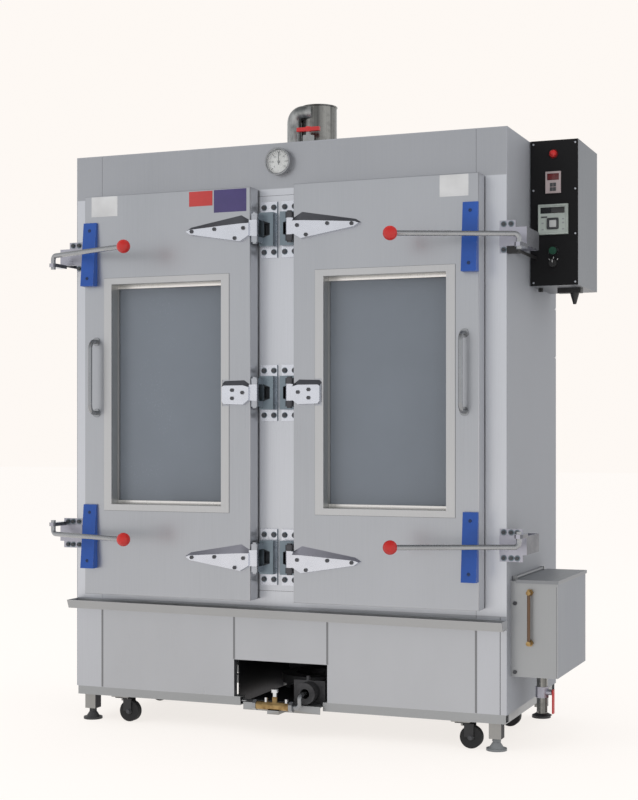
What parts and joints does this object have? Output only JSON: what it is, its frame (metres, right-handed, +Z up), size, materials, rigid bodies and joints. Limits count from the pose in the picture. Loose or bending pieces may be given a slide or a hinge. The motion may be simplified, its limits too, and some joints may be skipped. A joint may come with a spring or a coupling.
{
  "type": "steam cabinet",
  "caption": "Free-standing gas-heated steam cabinet with glazed insulated doors, lever latches, feed tank and side control box.",
  "frame": {"origin": "centre of the whole cabinet's bounding box, on the floor", "axes": "+Z up, -Y towards the doors' front, +X towards the control box"},
  "size_m": [1.723, 0.8915, 2.082],
  "materials": {
    "stainless_sheet": "brushed stainless sheet",
    "inner_stainless": "plain stainless sheet",
    "insulation_mat": "mineral wool",
    "window_glass": "clear toughened",
    "seal_rubber": "soft dark rubber",
    "polished_steel": "polished",
    "zinc_casting": "zinc plated casting",
    "galvanised_steel": "dull zinc plated",
    "lever_steel": "worn plated bar with a red knob",
    "blue_paint": "blue paint",
    "red_coating": "red dipped plastic",
    "black_panel": "black satin",
    "black_plastic": "black moulded",
    "grey_plastic": "grey-green moulded",
    "lamp_red": "red lens",
    "button_green": "green cap",
    "caster_tyre": "black rubber",
    "needle_black": "painted pointer",
    "brass": "turned brass",
    "cast_black": "black casting"
  },
  "bodies": {
    "root": {"base_frame": "stainless_sheet", "base_panels": "stainless_sheet", "burner": "cast_black", "cabinet_bolts": "zinc_casting", "control_box_case": "stainless_sheet", "control_box_panel": "black_panel", "door_switch": "black_plastic", "drain_pipe": "galvanised_steel", "drip_gutter": "stainless_sheet", "feed_tank": "stainless_sheet", "flue_duct": "galvanised_steel", "front_frame": "stainless_sheet", "gas_valve": "brass", "hinge_blocks": "zinc_casting", "inner_liner": "inner_stainless", "insulation": "insulation_mat", "latch_brackets": "zinc_casting", "levelling_feet": "galvanised_steel", "outer_casing": "stainless_sheet", "panel_timer": "grey_plastic", "power_lamp": "lamp_red", "sight_gauge": "brass", "steam_pipe": "galvanised_steel", "temperature_controller": "grey_plastic", "thermometer_case": "galvanised_steel", "tray_shelves": "inner_stainless", "water_pan": "inner_stainless"},
    "left_door": {"left_door_back_pan": "inner_stainless", "left_door_gasket": "seal_rubber", "left_door_glass": "window_glass", "left_door_hinge_straps": "polished_steel", "left_door_insulation": "insulation_mat", "left_door_shell": "stainless_sheet", "left_pull_handle": "polished_steel", "left_wedge_pads": "blue_paint"},
    "right_door": {"right_door_back_pan": "inner_stainless", "right_door_gasket": "seal_rubber", "right_door_glass": "window_glass", "right_door_hinge_straps": "polished_steel", "right_door_insulation": "insulation_mat", "right_door_shell": "stainless_sheet", "right_pull_handle": "polished_steel", "right_wedge_pads": "blue_paint"},
    "left_upper_latch_lever": {"left_upper_latch_lever": "lever_steel"},
    "left_lower_latch_lever": {"left_lower_latch_lever": "lever_steel"},
    "right_upper_latch_lever": {"right_upper_latch_lever": "lever_steel"},
    "right_lower_latch_lever": {"right_lower_latch_lever": "lever_steel"},
    "front_left_caster_fork": {"front_left_caster_fork": "zinc_casting"},
    "front_right_caster_fork": {"front_right_caster_fork": "zinc_casting"},
    "front_left_wheel": {"front_left_wheel": "caster_tyre"},
    "front_right_wheel": {"front_right_wheel": "caster_tyre"},
    "rear_left_wheel": {"rear_left_wheel": "caster_tyre"},
    "rear_right_wheel": {"rear_right_wheel": "caster_tyre"},
    "steam_valve_handle": {"steam_valve_handle": "red_coating"},
    "drain_valve_handle": {"drain_valve_handle": "red_coating"},
    "gas_knob": {"gas_knob": "brass"},
    "thermometer_needle": {"thermometer_needle": "needle_black"},
    "tank_lid": {"tank_lid": "stainless_sheet"},
    "start_button": {"start_button": "button_green"},
    "heat_selector": {"heat_selector": "black_plastic"}
  },
  "joints": [
    {"name": "left_door_swing", "type": "hinge", "parent": "root", "child": "left_door", "pos_m": [-0.1055, -0.26824, 1.101], "axis": [0, 0, 1], "range_deg": [0, 90]},
    {"name": "right_door_swing", "type": "hinge", "parent": "root", "child": "right_door", "pos_m": [0.0145, -0.26824, 1.101], "axis": [0, 0, -1], "range_deg": [0, 90]},
    {"name": "left_upper_lever_swing", "type": "hinge", "parent": "root", "child": "left_upper_latch_lever", "pos_m": [-0.8485, -0.27024, 1.568], "axis": [0, 0, -1], "range_deg": [0, 211.5]},
    {"name": "left_lower_lever_swing", "type": "hinge", "parent": "root", "child": "left_lower_latch_lever", "pos_m": [-0.8485, -0.27024, 0.632], "axis": [0, 0, -1], "range_deg": [0, 211.5]},
    {"name": "right_upper_lever_swing", "type": "hinge", "parent": "root", "child": "right_upper_latch_lever", "pos_m": [0.7575, -0.27024, 1.568], "axis": [0, 0, 1], "range_deg": [0, 211.5]},
    {"name": "right_lower_lever_swing", "type": "hinge", "parent": "root", "child": "right_lower_latch_lever", "pos_m": [0.7575, -0.27024, 0.632], "axis": [0, 0, 1], "range_deg": [0, 211.5]},
    {"name": "front_left_caster_swivel", "type": "hinge", "parent": "root", "child": "front_left_caster_fork", "pos_m": [-0.6355, -0.17424, 0.083], "axis": [0, 0, 1], "continuous": true},
    {"name": "front_right_caster_swivel", "type": "hinge", "parent": "root", "child": "front_right_caster_fork", "pos_m": [0.5545, -0.17424, 0.083], "axis": [0, 0, 1], "continuous": true},
    {"name": "front_left_wheel_spin", "type": "hinge", "parent": "front_left_caster_fork", "child": "front_left_wheel", "pos_m": [-0.6055, -0.17424, 0.037], "axis": [0, 1, 0], "continuous": true},
    {"name": "front_right_wheel_spin", "type": "hinge", "parent": "front_right_caster_fork", "child": "front_right_wheel", "pos_m": [0.5845, -0.17424, 0.037], "axis": [0, 1, 0], "continuous": true},
    {"name": "rear_left_wheel_spin", "type": "hinge", "parent": "root", "child": "rear_left_wheel", "pos_m": [-0.6955, 0.21576, 0.037], "axis": [0, 1, 0], "continuous": true},
    {"name": "rear_right_wheel_spin", "type": "hinge", "parent": "root", "child": "rear_right_wheel", "pos_m": [0.6045, 0.21576, 0.037], "axis": [0, 1, 0], "continuous": true},
    {"name": "steam_valve_turn", "type": "hinge", "parent": "root", "child": "steam_valve_handle", "pos_m": [-0.0335, 0.00776, 1.985], "axis": [0, 0, 1], "range_deg": [0, 90]},
    {"name": "drain_valve_turn", "type": "hinge", "parent": "root", "child": "drain_valve_handle", "pos_m": [0.7955, -0.00924, 0.16], "axis": [1, 0, 0], "range_deg": [0, 90]},
    {"name": "gas_knob_turn", "type": "hinge", "parent": "root", "child": "gas_knob", "pos_m": [-0.0375, -0.26424, 0.144], "axis": [0, 0, 1], "range_deg": [0, 90]},
    {"name": "thermometer_needle_turn", "type": "hinge", "parent": "root", "child": "thermometer_needle", "pos_m": [-0.0455, -0.21624, 1.843], "axis": [0, 1, 0], "range_deg": [-130, 130]},
    {"name": "tank_lid_swing", "type": "hinge", "parent": "root", "child": "tank_lid", "pos_m": [0.7135, 0.03626, 0.528], "axis": [0, -1, 0], "range_deg": [0, 50]},
    {"name": "start_button_press", "type": "slide", "parent": "root", "child": "start_button", "axis": [0, 1, 0], "range_m": [0, 0.004], "stiffness_N_per_m": 300, "springref_m": -0.002},
    {"name": "heat_selector_turn", "type": "hinge", "parent": "root", "child": "heat_selector", "pos_m": [0.7825, 0.07276, 1.512], "axis": [0, 1, 0], "range_deg": [-45, 45]}
  ],
  "couplings": [
    {"joint": "left_upper_lever_swing", "follows": "left_door_swing", "ratio": 2.35},
    {"joint": "left_lower_lever_swing", "follows": "left_door_swing", "ratio": 2.35},
    {"joint": "right_upper_lever_swing", "follows": "right_door_swing", "ratio": 2.35},
    {"joint": "right_lower_lever_swing", "follows": "right_door_swing", "ratio": 2.35}
  ]
}
